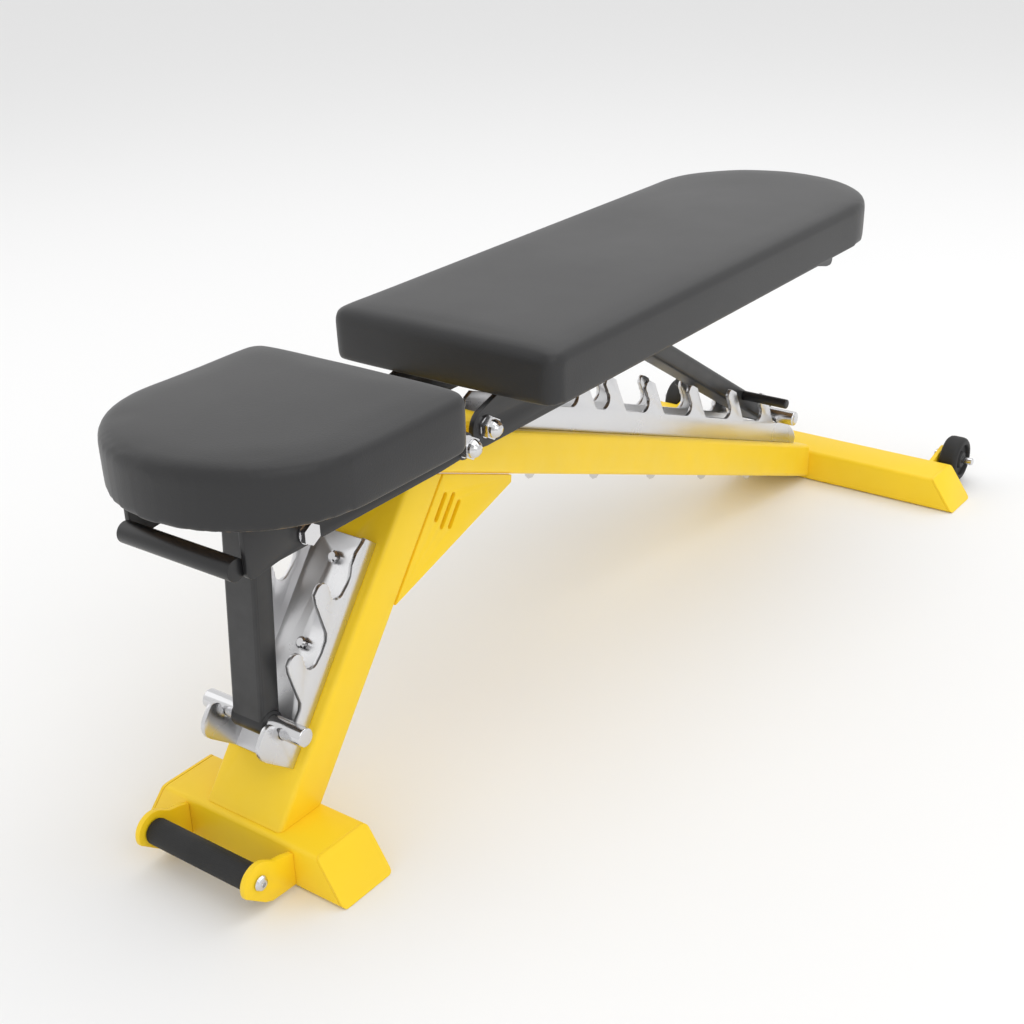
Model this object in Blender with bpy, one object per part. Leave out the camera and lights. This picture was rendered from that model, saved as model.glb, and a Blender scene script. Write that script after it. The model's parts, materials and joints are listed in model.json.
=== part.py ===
"""Adjustable weight bench: welded steel frame with two notched ladders, a hinged seat and a hinged back."""

import math

import bmesh
import bpy
from mathutils import Vector

# Lengths are in millimetres in a frame whose y = 0 is the front foot's front face; MM turns them into metres.
MM = 0.001
GAP = 0.3
RUN = 0.1
ROUND = 18
RUNNING_ROUND = 36

# Front foot and rear foot, with ends that slope outwards to the floor.
FRONT_FOOT_DEPTH = 68.0
FRONT_FOOT_HEIGHT = 47.0
FRONT_FOOT_HALF_FLOOR = 133.0
FRONT_FOOT_HALF_TOP = 104.0
REAR_FOOT_FRONT = 1099.0
REAR_FOOT_DEPTH = 64.0
REAR_FOOT_HEIGHT = 45.0
REAR_FOOT_HALF_FLOOR = 269.0
REAR_FOOT_HALF_TOP = 238.0
FOOT_WALL = 3.0
FOOT_EDGE = 5.0

# Post and spine, the same flat tube.
FRAME_HALF_WIDTH = 50.0
FRAME_DEPTH = 47.0
FRAME_WALL = 4.0
FRAME_EDGE = 5.0
POST_LEAN = math.radians(37.65)
POST_START = (5.2, 45.0)
SPINE_SLOPE = math.radians(20.7)
SPINE_START = (403.0, 317.8)
FRONT_PLATE = 4.0
SPINE_FRONT_TOP = 285.0
FRONT_PLATE_TOP = -11.0

# Gusset plates, with three round-ended slots each.
GUSSET_THICK = 5.0
GUSSET_REAR = 385.0
GUSSET_REAR_EDGE = 8.0
GUSSET_LOW = 207.0
SLOT_CENTRE = (277.0, 275.0)
SLOT_LENGTH = 34.0
SLOT_WIDTH = 6.0
SLOT_PITCH = 13.0

# Hinges of the seat and the back.
SEAT_HINGE = (278.0, 350.0)
BACK_HINGE = (322.0, 354.0)
SLEEVE_RADIUS = 12.0
SLEEVE_HALF = 61.0
PIVOT_RADIUS = 7.0

# Ladders: bent channels that hold the latch pins.
LADDER_HALF = 38.5
LADDER_THICK = 5.0
PIN_RADIUS = 9.75
PIN_HALF = 64.0
FRONT_LADDER_LOW = 63.0
FRONT_LADDER_TOP = 290.0
FRONT_POCKETS = (97.2, 166.5, 235.8)
FRONT_PIN_HEIGHT = 31.5
FRONT_POCKET_RADIUS = 10.3
FRONT_LADDER_DEPTH = 59.5
FRONT_SCREWS = (265.0, 177.0)
REAR_LADDER_FRONT = 10.0
REAR_LADDER_REAR = 714.0
REAR_PIN_HEIGHT = 37.5
REAR_POCKET_RADIUS = 10.2
REAR_FLOOR = 27.3
BACK_STEPS = (90.0, 75.0, 60.0, 45.0, 30.0, 15.0, 0.0)
SPINE_BOLT_FIRST = 107.5
SPINE_BOLT_PITCH = 139.0
SPINE_BOLTS = 5

# Struts.
SEAT_STRUT_PIVOT = (54.0, 349.0)
BACK_STRUT_PIVOT = (660.0, 350.0)
BACK_STRUT_LENGTH = 424.5
STRUT_HALF_WIDTH = 20.0
STRUT_DEPTH = 25.0
STRUT_WALL = 2.5
STRUT_HEAD = 24.0
COLLAR_RADIUS = 13.5
STRUT_BOLT_RADIUS = 6.0
STRUT_SLEEVE_WALL = 3.3
COLLAR_PROUD = 1.0
HANDLE_FROM_PIN = 85.0
HANDLE_OFFSET = 4.5
HANDLE_RADIUS = 6.3
HANDLE_HALF = 85.0

# Cushions, each with a board let into its underside.
PAD_TOP = 440.0
SEAT_HALF_WIDTH = 138.0
SEAT_ELLIPSE_CENTRE = 70.0
SEAT_ELLIPSE_LENGTH = 126.0
SEAT_REAR = 220.0
SEAT_BOTTOM = 381.0
BACK_HALF_WIDTH = 147.0
BACK_FRONT = 330.0
BACK_ELLIPSE_CENTRE = 1000.0
BACK_ELLIPSE_LENGTH = 125.0
BACK_BOTTOM = 383.0
PAD_CORNER = 20.0
PAD_EDGE = 14.0
BOARD_INSET = 10.0
BOARD_THICK = 12.0

# Seat and back side plates.
SEAT_PLATE_OUTER = 75.5
BACK_PLATE_OUTER = 68.0
PLATE_THICK = 6.0
GRAB_BAR_CENTRE = (-24.0, 344.0)
GRAB_BAR_RADIUS = 10.5
BACK_TONGUE = 21.0
SEAT_TONGUE = 14.0

# Transport wheels and the front roller.
WHEEL_CENTRE = (1205.0, 36.0)
WHEEL_RADIUS = 32.0
WHEEL_OUTER = 240.0
WHEEL_WIDTH = 26.0
BRACKET_INNER = 205.0
BRACKET_THICK = 6.0
AXLE_RADIUS = 5.0
AXLE_END = 254.0
LUG_INNER = 67.0
LUG_THICK = 6.0
ROLLER_CENTRE = (-44.0, 35.0)
ROLLER_RADIUS = 13.5
ROLLER_CORE_RADIUS = 8.0
ROLLER_BOLT_RADIUS = 4.0
LUG_NOSE = 20.0

FRONT_MOST = ROLLER_CENTRE[0] - LUG_NOSE
REAR_MOST = WHEEL_CENTRE[0] + WHEEL_RADIUS
CENTRE_Y = (FRONT_MOST + REAR_MOST) / 2


def along(start, angle, length, height):
    """The (y, z) of a point on the spine: length down the slope, height square to it."""
    return (
        start[0] + length * math.cos(angle) + height * math.sin(angle),
        start[1] - length * math.sin(angle) + height * math.cos(angle),
    )


def on_post(length, height):
    """The (y, z) of a point on the post: length up it, height forward of its front face."""
    return (
        POST_START[0] + length * math.sin(POST_LEAN) - height * math.cos(POST_LEAN),
        POST_START[1] + length * math.cos(POST_LEAN) + height * math.sin(POST_LEAN),
    )


def turned(point, centre, angle):
    y, z = point[0] - centre[0], point[1] - centre[1]
    return (
        centre[0] + y * math.cos(angle) - z * math.sin(angle),
        centre[1] + y * math.sin(angle) + z * math.cos(angle),
    )


def rear_pocket(step):
    """Where along the rear ladder the latch pin sits with the back raised by step degrees."""
    pivot = turned(BACK_STRUT_PIVOT, BACK_HINGE, math.radians(step))
    y, z = pivot[0] - SPINE_START[0], pivot[1] - SPINE_START[1]
    length = y * math.cos(SPINE_SLOPE) - z * math.sin(SPINE_SLOPE)
    height = y * math.sin(SPINE_SLOPE) + z * math.cos(SPINE_SLOPE)
    return length + math.sqrt(BACK_STRUT_LENGTH**2 - (height - REAR_PIN_HEIGHT) ** 2)


def arc(centre, radius, first, last, count):
    """Points of an arc, from angle first to angle last in degrees."""
    return [
        (
            centre[0] + radius * math.cos(math.radians(first + (last - first) * i / count)),
            centre[1] + radius * math.sin(math.radians(first + (last - first) * i / count)),
        )
        for i in range(count + 1)
    ]


def rectangle(low_a, high_a, low_b, high_b, radius, count=3):
    """A rectangle with rounded corners, as a loop of points."""
    corners = (
        (high_a - radius, low_b + radius, -90),
        (high_a - radius, high_b - radius, 0),
        (low_a + radius, high_b - radius, 90),
        (low_a + radius, low_b + radius, 180),
    )
    return [p for a, b, turn in corners for p in arc((a, b), radius, turn, turn + 90, count)]


def close(mesh):
    bmesh.ops.recalc_face_normals(mesh, faces=mesh.faces)
    return mesh


def ring_faces(mesh, first, second):
    count = len(first)
    for i in range(count):
        j = (i + 1) % count
        mesh.faces.new((first[i], first[j], second[j], second[i]))


def prism(points, low, high):
    """A plate: an outline of (y, z) points between two x values."""
    mesh = bmesh.new()
    near = [mesh.verts.new((low, y, z)) for y, z in points]
    far = [mesh.verts.new((high, y, z)) for y, z in points]
    mesh.faces.new(near)
    mesh.faces.new(far)
    ring_faces(mesh, near, far)
    return close(mesh)


def tube(outer, inner, start, end, place, blind=0.0):
    """A tube between two flat cuts; blind is the thickness of a wall that closes its far end."""
    mesh = bmesh.new()
    outer_start = [mesh.verts.new(place(a, b, start(a, b))) for a, b in outer]
    outer_end = [mesh.verts.new(place(a, b, end(a, b))) for a, b in outer]
    inner_start = [mesh.verts.new(place(a, b, start(a, b))) for a, b in inner]
    inner_end = [mesh.verts.new(place(a, b, end(a, b) - blind)) for a, b in inner]
    ring_faces(mesh, outer_start, outer_end)
    ring_faces(mesh, inner_start, inner_end)
    ring_faces(mesh, outer_start, inner_start)
    if blind:
        mesh.faces.new(outer_end)
        mesh.faces.new(inner_end)
    else:
        ring_faces(mesh, outer_end, inner_end)
    return close(mesh)


def solid_bar(outer, start, end, place):
    mesh = bmesh.new()
    first = [mesh.verts.new(place(a, b, start(a, b))) for a, b in outer]
    second = [mesh.verts.new(place(a, b, end(a, b))) for a, b in outer]
    mesh.faces.new(first)
    mesh.faces.new(second)
    ring_faces(mesh, first, second)
    return close(mesh)


AXES = {
    "X": lambda along_it, a, b: (along_it, a, b),
    "Y": lambda along_it, a, b: (b, along_it, a),
    "Z": lambda along_it, a, b: (a, b, along_it),
}


def turning(profile, axis="X", hollow=False, centre=(0.0, 0.0), segments=ROUND, mesh=None):
    """A turned piece from (position, radius) points; hollow joins the last point to the first."""
    mesh = mesh or bmesh.new()
    put = AXES[axis]
    rings = []
    for position, radius in profile:
        if radius == 0:
            rings.append([mesh.verts.new(put(position, *centre))])
            continue
        ring = []
        for i in range(segments):
            angle = 2 * math.pi * (i + 0.5) / segments
            a = centre[0] + radius * math.cos(angle)
            b = centre[1] + radius * math.sin(angle)
            ring.append(mesh.verts.new(put(position, a, b)))
        rings.append(ring)
    pairs = list(zip(rings, rings[1:]))
    if hollow:
        pairs.append((rings[-1], rings[0]))
    for first, second in pairs:
        if len(first) > 1 and len(second) > 1:
            ring_faces(mesh, first, second)
            continue
        tip, rim = (first[0], second) if len(first) == 1 else (second[0], first)
        for i in range(len(rim)):
            mesh.faces.new((tip, rim[i], rim[(i + 1) % len(rim)]))
    return close(mesh)


def rod(low, high, radius, chamfer=0.0):
    """The profile of a solid rod with chamfered ends."""
    if not chamfer:
        return [(low, 0), (low, radius), (high, radius), (high, 0)]
    return [
        (low, 0),
        (low, radius - chamfer),
        (low + chamfer, radius),
        (high - chamfer, radius),
        (high, radius - chamfer),
        (high, 0),
    ]


def pipe(low, high, outer, inner, edge=0.0):
    """The profile of a bush, open at both ends."""
    if not edge:
        return [(low, inner), (low, outer), (high, outer), (high, inner)]
    return [
        (low, inner),
        (low, outer - edge),
        (low + edge, outer),
        (high - edge, outer),
        (high, outer - edge),
        (high, inner),
    ]


def hexagon(low, high, across, centre=(0.0, 0.0)):
    """A hexagonal head or nut along X, measured across its flats."""
    points = [
        (
            centre[0] + across / math.sqrt(3) * math.cos(math.radians(60 * i + 30)),
            centre[1] + across / math.sqrt(3) * math.sin(math.radians(60 * i + 30)),
        )
        for i in range(6)
    ]
    return prism(points, low, high)


def material(name, colour, metallic, roughness):
    made = bpy.data.materials.new(name)
    made.use_nodes = True
    made.diffuse_color = (*colour, 1.0)
    shader = made.node_tree.nodes["Principled BSDF"]
    shader.inputs["Base Color"].default_value = (*colour, 1.0)
    shader.inputs["Metallic"].default_value = metallic
    shader.inputs["Roughness"].default_value = roughness
    return made


PAINTS = {
    "yellow": ((0.95, 0.60, 0.02), 0.0, 0.4),
    "steel": ((0.72, 0.72, 0.72), 1.0, 0.25),
    "black": ((0.02, 0.02, 0.02), 0.2, 0.45),
    "rubber": ((0.015, 0.015, 0.015), 0.0, 0.8),
    "vinyl": ((0.03, 0.03, 0.032), 0.0, 0.55),
    "plywood": ((0.35, 0.22, 0.11), 0.0, 0.7),
}


def to_world(point):
    return Vector((0.0, (point[0] - CENTRE_Y) * MM, point[1] * MM))


def add(name, mesh, paint, at=(0.0, 0.0), tilt=0.0, parent=None, smooth=False):
    """Places a piece: at is the (y, z) of its own origin and tilt its turn about X."""
    bmesh.ops.scale(mesh, vec=(MM, MM, MM), verts=mesh.verts)
    data = bpy.data.meshes.new(name)
    mesh.to_mesh(data)
    mesh.free()
    if smooth:
        for face in data.polygons:
            face.use_smooth = True
        data.set_sharp_from_angle(angle=math.radians(35))
    piece = bpy.data.objects.new(name, data)
    PIECES.objects.link(piece)
    piece.rotation_euler = (tilt, 0.0, 0.0)
    piece.location = to_world(at)
    if parent:
        piece.parent = parent
        piece.location = to_world(at) - parent.location
    if paint:
        data.materials.append(material(name + "_finish", *PAINTS[paint]))
    return piece


def boolean(piece, name, mesh, operation="DIFFERENCE"):
    """Cuts or joins a hidden helper, drawn in the piece's own frame."""
    bmesh.ops.scale(mesh, vec=(MM, MM, MM), verts=mesh.verts)
    data = bpy.data.meshes.new(name)
    mesh.to_mesh(data)
    mesh.free()
    helper = bpy.data.objects.new(name, data)
    CUTTERS.objects.link(helper)
    helper.parent = piece
    helper.hide_render = True
    helper.display_type = "WIRE"
    modifier = piece.modifiers.new(name, "BOOLEAN")
    modifier.operation = operation
    modifier.solver = "EXACT"
    modifier.object = helper


def local(point, origin):
    return (point[0] - origin[0], point[1] - origin[1])


def outline(points, origin):
    return [local(point, origin) for point in points]


def cross_line(first, direction, second, other):
    """The crossing of two lines in the side view."""
    turn = direction[0] * other[1] - direction[1] * other[0]
    y, z = second[0] - first[0], second[1] - first[1]
    share = (y * other[1] - z * other[0]) / turn
    return (first[0] + share * direction[0], first[1] + share * direction[1])


def make_foot(name, front, depth, height, half_floor, half_top):
    """A floor tube across the bench and the sloping plates that close its ends."""
    slope = (half_top - half_floor) / height
    lean = math.hypot(1.0, slope)
    outer = rectangle(front, front + depth, 0.0, height, FOOT_EDGE)
    inner = rectangle(
        front + FOOT_WALL, front + depth - FOOT_WALL, FOOT_WALL, height - FOOT_WALL, FOOT_EDGE - FOOT_WALL
    )

    def face(inset):
        return lambda y, z: half_floor - inset * lean + slope * z

    def place(y, z, x):
        return (x, y - front, z)

    tube_end = face(FOOT_WALL + GAP)
    mesh = tube(outer, inner, lambda y, z: -tube_end(y, z), tube_end, place)
    add(name, mesh, "yellow", at=(front, 0.0), smooth=True)
    for side, sign in (("left", -1.0), ("right", 1.0)):
        mesh = solid_bar(
            outer,
            lambda y, z: sign * face(FOOT_WALL)(y, z),
            lambda y, z: sign * face(0.0)(y, z),
            place,
        )
        add(f"{name}_end_{side}", mesh, "yellow", at=(front, 0.0), smooth=True)


def make_frame():
    """Post, spine, front plate, gussets and pivot sleeves."""
    lean = POST_LEAN - SPINE_SLOPE
    mitre = math.tan(lean)
    outer = rectangle(-FRAME_HALF_WIDTH, FRAME_HALF_WIDTH, 0.0, FRAME_DEPTH, FRAME_EDGE)
    inner = rectangle(
        FRAME_WALL - FRAME_HALF_WIDTH,
        FRAME_HALF_WIDTH - FRAME_WALL,
        FRAME_WALL,
        FRAME_DEPTH - FRAME_WALL,
        1.5,
    )
    post_way = (math.sin(POST_LEAN), math.cos(POST_LEAN))
    spine_way = (math.cos(SPINE_SLOPE), -math.sin(SPINE_SLOPE))
    under = along(SPINE_START, SPINE_SLOPE, 0.0, -FRAME_DEPTH)
    meeting = cross_line(POST_START, post_way, under, spine_way)
    post_top = math.dist(POST_START, meeting)
    foot_gap = FRONT_FOOT_HEIGHT + GAP - POST_START[1]
    mesh = tube(
        outer,
        inner,
        lambda x, m: (foot_gap + m * math.sin(POST_LEAN)) / math.cos(POST_LEAN),
        lambda x, m: post_top + m * mitre - 1.5 * GAP,
        lambda x, m, s: (x, m, s),
    )
    post = add("front_post", mesh, "yellow", at=POST_START, tilt=-POST_LEAN, smooth=True)
    holes = bmesh.new()
    for height in FRONT_SCREWS:
        turning(rod(-10.0, 15.0, 4.3), "Y", centre=(height, 0.0), mesh=holes)
    boolean(post, "cut_post_screws", holes)

    low = along(SPINE_START, SPINE_SLOPE, 0.0, -FRAME_DEPTH)
    low_front = -math.dist(low, cross_line(POST_START, post_way, low, spine_way))
    front = (SPINE_FRONT_TOP - SPINE_START[0]) / math.cos(SPINE_SLOPE)
    slant = (front - low_front) / FRAME_DEPTH
    rear = REAR_FOOT_FRONT - GAP - SPINE_START[0]

    def cut_front(inset):
        return lambda x, n: front + inset * math.hypot(1.0, slant) + n * slant

    def cut_rear(x, n):
        return (rear - n * math.sin(SPINE_SLOPE)) / math.cos(SPINE_SLOPE)

    down = [(a, b - FRAME_DEPTH) for a, b in outer]
    hollow = [(a, b - FRAME_DEPTH) for a, b in inner]
    mesh = tube(
        down,
        hollow,
        cut_front(FRONT_PLATE + GAP),
        cut_rear,
        lambda x, n, s: (x, s, n),
        blind=FRAME_WALL,
    )
    spine = add("spine", mesh, "yellow", at=SPINE_START, tilt=-SPINE_SLOPE, smooth=True)
    for name, hinge in (("seat", SEAT_HINGE), ("back", BACK_HINGE)):
        y, z = local(hinge, SPINE_START)
        centre = turned((y, z), (0.0, 0.0), SPINE_SLOPE)
        bore = turning(rod(-80.0, 80.0, SLEEVE_RADIUS + GAP), centre=centre)
        boolean(spine, f"cut_spine_{name}_sleeve", bore)
        profile = pipe(-SLEEVE_HALF, SLEEVE_HALF, SLEEVE_RADIUS, PIVOT_RADIUS + GAP, 1.0)
        sleeve = turning(profile, hollow=True)
        add(f"{name}_pivot_sleeve", sleeve, "yellow", at=hinge, smooth=True)
    holes = bmesh.new()
    for place in spine_bolt_places():
        turning(rod(-70.0, 20.0, 4.3), "Z", centre=(0.0, place), segments=12, mesh=holes)
    boolean(spine, "cut_spine_bolts", holes)
    cover = rectangle(-FRAME_HALF_WIDTH, FRAME_HALF_WIDTH, -FRAME_DEPTH, FRONT_PLATE_TOP, 1.0)
    mesh = solid_bar(cover, cut_front(0.0), cut_front(FRONT_PLATE), lambda x, n, s: (x, s, n))
    plate = add("spine_front_plate", mesh, "yellow", at=SPINE_START, tilt=-SPINE_SLOPE, smooth=True)
    centre = turned(local(SEAT_HINGE, SPINE_START), (0.0, 0.0), SPINE_SLOPE)
    bore = turning(rod(-80.0, 80.0, SLEEVE_RADIUS + GAP), centre=centre)
    boolean(plate, "cut_front_plate_sleeve", bore)

    post_rear = on_post(0.0, -FRAME_DEPTH - GAP)
    below = along(SPINE_START, SPINE_SLOPE, 0.0, -FRAME_DEPTH - GAP)
    corner = cross_line(post_rear, post_way, below, spine_way)
    rear_top = cross_line(below, spine_way, (GUSSET_REAR, 0.0), (0.0, 1.0))
    low = cross_line(post_rear, post_way, (0.0, GUSSET_LOW), (1.0, 0.0))
    points = [corner, rear_top, (rear_top[0] - 1.0, rear_top[1] - GUSSET_REAR_EDGE), low]
    for side, sign in (("left", -1.0), ("right", 1.0)):
        outside = sign * (FRAME_HALF_WIDTH - FRAME_EDGE + GUSSET_THICK)
        mesh = prism(outline(points, corner), outside, outside - sign * GUSSET_THICK)
        plate = add(f"gusset_{side}", mesh, "yellow", at=corner)
        for i in (-1, 0, 1):
            across = i * SLOT_PITCH
            length = SLOT_LENGTH - 8.0 * abs(i)
            ends = [
                (
                    SLOT_CENTRE[0] + across * math.cos(POST_LEAN) + half * math.sin(POST_LEAN),
                    SLOT_CENTRE[1] - across * math.sin(POST_LEAN) + half * math.cos(POST_LEAN),
                )
                for half in (length / 2, -length / 2)
            ]
            turn = math.degrees(math.pi / 2 - POST_LEAN)
            slot = arc(ends[0], SLOT_WIDTH / 2, turn - 90, turn + 90, 6)
            slot += arc(ends[1], SLOT_WIDTH / 2, turn + 90, turn + 270, 6)
            cutter = prism(outline(slot, corner), -80.0, 80.0)
            boolean(plate, f"cut_gusset_{side}_slot_{i + 2}", cutter)


def spine_bolt_places():
    return [SPINE_BOLT_FIRST + SPINE_BOLT_PITCH * i for i in range(SPINE_BOLTS)]


def front_ladder_outline():
    """(height forward, length up) points of the front ladder's cheeks."""
    deep = FRONT_LADDER_DEPTH
    tip = 8.8
    reach = FRONT_PIN_HEIGHT
    points = [(GAP, FRONT_LADDER_LOW), (30.0, FRONT_LADDER_LOW)]
    points += arc((deep - 17.0, FRONT_LADDER_LOW + 17.0), 17.0, -90, 0, 5)
    for i, place in enumerate(FRONT_POCKETS):
        points += arc((deep - tip, place - 8.0), tip, 0, 150, 8)
        points += arc((reach, place), FRONT_POCKET_RADIUS, -25, -180, 8)
        points += [(reach - 12.0, place + 8.0)]
        if i < len(FRONT_POCKETS) - 1:
            points += [(reach - 12.0, place + 20.0), (reach - 8.0, place + 27.0)]
            points += [(deep - 6.0, place + 49.0), (deep, place + 56.0)]
        else:
            points += [(reach - 12.0, place + 16.0), (reach - 8.0, place + 26.0)]
            points += [(reach - 8.0, place + 38.0), (reach - 12.0, FRONT_LADDER_TOP - 5.0)]
            points += [(reach - 13.0, FRONT_LADDER_TOP)]
    points += [(GAP, FRONT_LADDER_TOP)]
    return points


def rear_ladder_outline():
    """(length down, height up) points of the rear ladder's cheeks."""
    points = [(REAR_LADDER_FRONT, GAP), (REAR_LADDER_FRONT, REAR_FLOOR - 8.0)]
    points += [(REAR_LADDER_FRONT + 8.0, REAR_FLOOR)]
    for step in BACK_STEPS:
        place = rear_pocket(step)
        centre = (place, REAR_PIN_HEIGHT)
        if step == 0.0:
            points += arc(centre, REAR_POCKET_RADIUS, -90, 10, 6)
            points += [(place + 13.0, REAR_PIN_HEIGHT + 5.0), (place + 34.0, REAR_PIN_HEIGHT + 4.5)]
            points += [(place + 42.0, REAR_FLOOR - 2.0), (REAR_LADDER_REAR - 8.0, 17.0)]
            points += [(REAR_LADDER_REAR, 9.0), (REAR_LADDER_REAR, GAP)]
            continue
        height = REAR_PIN_HEIGHT
        points += arc(centre, REAR_POCKET_RADIUS, -90, 72, 9)
        points += [(place + 1.5, height + 12.5), (place - 4.0, height + 17.0)]
        points += [(place - 5.0, height + 20.0), (place - 4.5, height + 25.0)]
        points += [(place - 1.5, height + 28.0), (place + 3.0, height + 28.0)]
        points += [(place + 15.0, height + 25.5), (place + 19.0, height + 21.0)]
        follows = rear_pocket(BACK_STEPS[BACK_STEPS.index(step) + 1])
        foot = min(place + 53.0, follows - 2.0)
        points += [(foot - 5.0, REAR_FLOOR + 3.0), (foot, REAR_FLOOR)]
    return points


def make_ladders():
    inside = LADDER_HALF - LADDER_THICK
    floor = LADDER_THICK + GAP
    points = [(-n, s) for n, s in front_ladder_outline()]
    mesh = prism(points, -LADDER_HALF, LADDER_HALF)
    ladder = add("front_ladder", mesh, "steel", at=POST_START, tilt=-POST_LEAN)
    room = prism([(-floor, 0.0), (-200.0, 0.0), (-200.0, 400.0), (-floor, 400.0)], -inside, inside)
    boolean(ladder, "cut_front_ladder", room)
    holes = bmesh.new()
    for i, height in enumerate(FRONT_SCREWS):
        turning(rod(-20.0, 10.0, 4.3), "Y", centre=(height, 0.0), mesh=holes)
        head = -floor - GAP
        profile = [(head - 5.0, 0), (head - 5.0, 4.0), (head - 3.5, 6.0), (head, 6.0)]
        profile += [(head, 4.0), (9.0, 4.0), (9.0, 0)]
        screw = turning(profile, "Y", centre=(height, 0.0))
        add(f"front_ladder_screw_{i + 1}", screw, "steel", at=POST_START, tilt=-POST_LEAN, smooth=True)
    boolean(ladder, "cut_front_ladder_screws", holes)

    mesh = prism(rear_ladder_outline(), -LADDER_HALF, LADDER_HALF)
    ladder = add("rear_ladder", mesh, "steel", at=SPINE_START, tilt=-SPINE_SLOPE)
    room = prism([(-50.0, floor), (900.0, floor), (900.0, 300.0), (-50.0, 300.0)], -inside, inside)
    boolean(ladder, "cut_rear_ladder", room)
    holes = bmesh.new()
    under = -FRAME_DEPTH - GAP
    for i, place in enumerate(spine_bolt_places()):
        turning(rod(-20.0, 20.0, 4.3), "Z", centre=(0.0, place), segments=12, mesh=holes)
        profile = [(floor + GAP + 4.0, 0), (floor + GAP + 4.0, 5.0), (floor + GAP + 2.5, 7.5)]
        profile += [(floor + GAP, 7.5), (floor + GAP, 4.0), (under, 4.0), (under, 7.5)]
        profile += [(under - 1.5, 7.5), (under - 1.5, 6.2), (under - 8.0, 6.2)]
        profile += [(under - 12.5, 4.4), (under - 15.2, 0)]
        bolt = turning(profile, "Z", centre=(0.0, place), segments=12)
        add(f"rear_ladder_bolt_{i + 1}", bolt, "steel", at=SPINE_START, tilt=-SPINE_SLOPE, smooth=True)
    boolean(ladder, "cut_rear_ladder_bolts", holes)


def make_rear_end():
    """Rear foot, wheel brackets, axles and wheels."""
    make_foot(
        "rear_foot",
        REAR_FOOT_FRONT,
        REAR_FOOT_DEPTH,
        REAR_FOOT_HEIGHT,
        REAR_FOOT_HALF_FLOOR,
        REAR_FOOT_HALF_TOP,
    )
    back = REAR_FOOT_FRONT + REAR_FOOT_DEPTH + GAP
    inner = WHEEL_OUTER - WHEEL_WIDTH
    for side, sign in (("left", -1.0), ("right", 1.0)):
        empty = bpy.data.objects.new(f"wheel_{side}_axis", None)
        PIECES.objects.link(empty)
        empty.location = to_world(WHEEL_CENTRE)
        points = [(back, 8.0)] + arc(WHEEL_CENTRE, 15.0, -70, 110, 10) + [(back, REAR_FOOT_HEIGHT - 3.0)]
        low, high = sorted((sign * BRACKET_INNER, sign * (BRACKET_INNER + BRACKET_THICK)))
        plate = add(
            f"wheel_bracket_{side}", prism(outline(points, WHEEL_CENTRE), low, high), "yellow", at=WHEEL_CENTRE
        )
        boolean(plate, f"cut_wheel_bracket_{side}", turning(rod(-300.0, 300.0, AXLE_RADIUS + GAP)))
        profile = [
            (BRACKET_INNER - GAP - 6.0, 0),
            (BRACKET_INNER - GAP - 6.0, 7.5),
            (BRACKET_INNER - GAP - 5.0, 8.5),
            (BRACKET_INNER - GAP, 8.5),
            (BRACKET_INNER - GAP, AXLE_RADIUS),
            (AXLE_END - 1.0, AXLE_RADIUS),
            (AXLE_END, AXLE_RADIUS - 1.0),
            (AXLE_END, 0),
        ]
        mesh = turning([(sign * x, r) for x, r in profile])
        add(f"wheel_axle_{side}", mesh, "steel", at=WHEEL_CENTRE, smooth=True)
        bore = AXLE_RADIUS + RUN
        profile = [
            (inner, bore),
            (inner, WHEEL_RADIUS - 4.0),
            (inner + 1.2, WHEEL_RADIUS - 1.2),
            (inner + 4.0, WHEEL_RADIUS),
            (WHEEL_OUTER - 4.0, WHEEL_RADIUS),
            (WHEEL_OUTER - 1.2, WHEEL_RADIUS - 1.2),
            (WHEEL_OUTER, WHEEL_RADIUS - 4.0),
            (WHEEL_OUTER, WHEEL_RADIUS - 9.0),
            (WHEEL_OUTER - 5.0, WHEEL_RADIUS - 10.5),
            (WHEEL_OUTER - 5.0, 11.0),
            (WHEEL_OUTER - 1.0, 10.0),
            (WHEEL_OUTER - 1.0, bore),
        ]
        mesh = turning([(sign * x, r) for x, r in profile], hollow=True, segments=28)
        add(f"wheel_{side}", mesh, "rubber", at=WHEEL_CENTRE, parent=empty, smooth=True)


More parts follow.
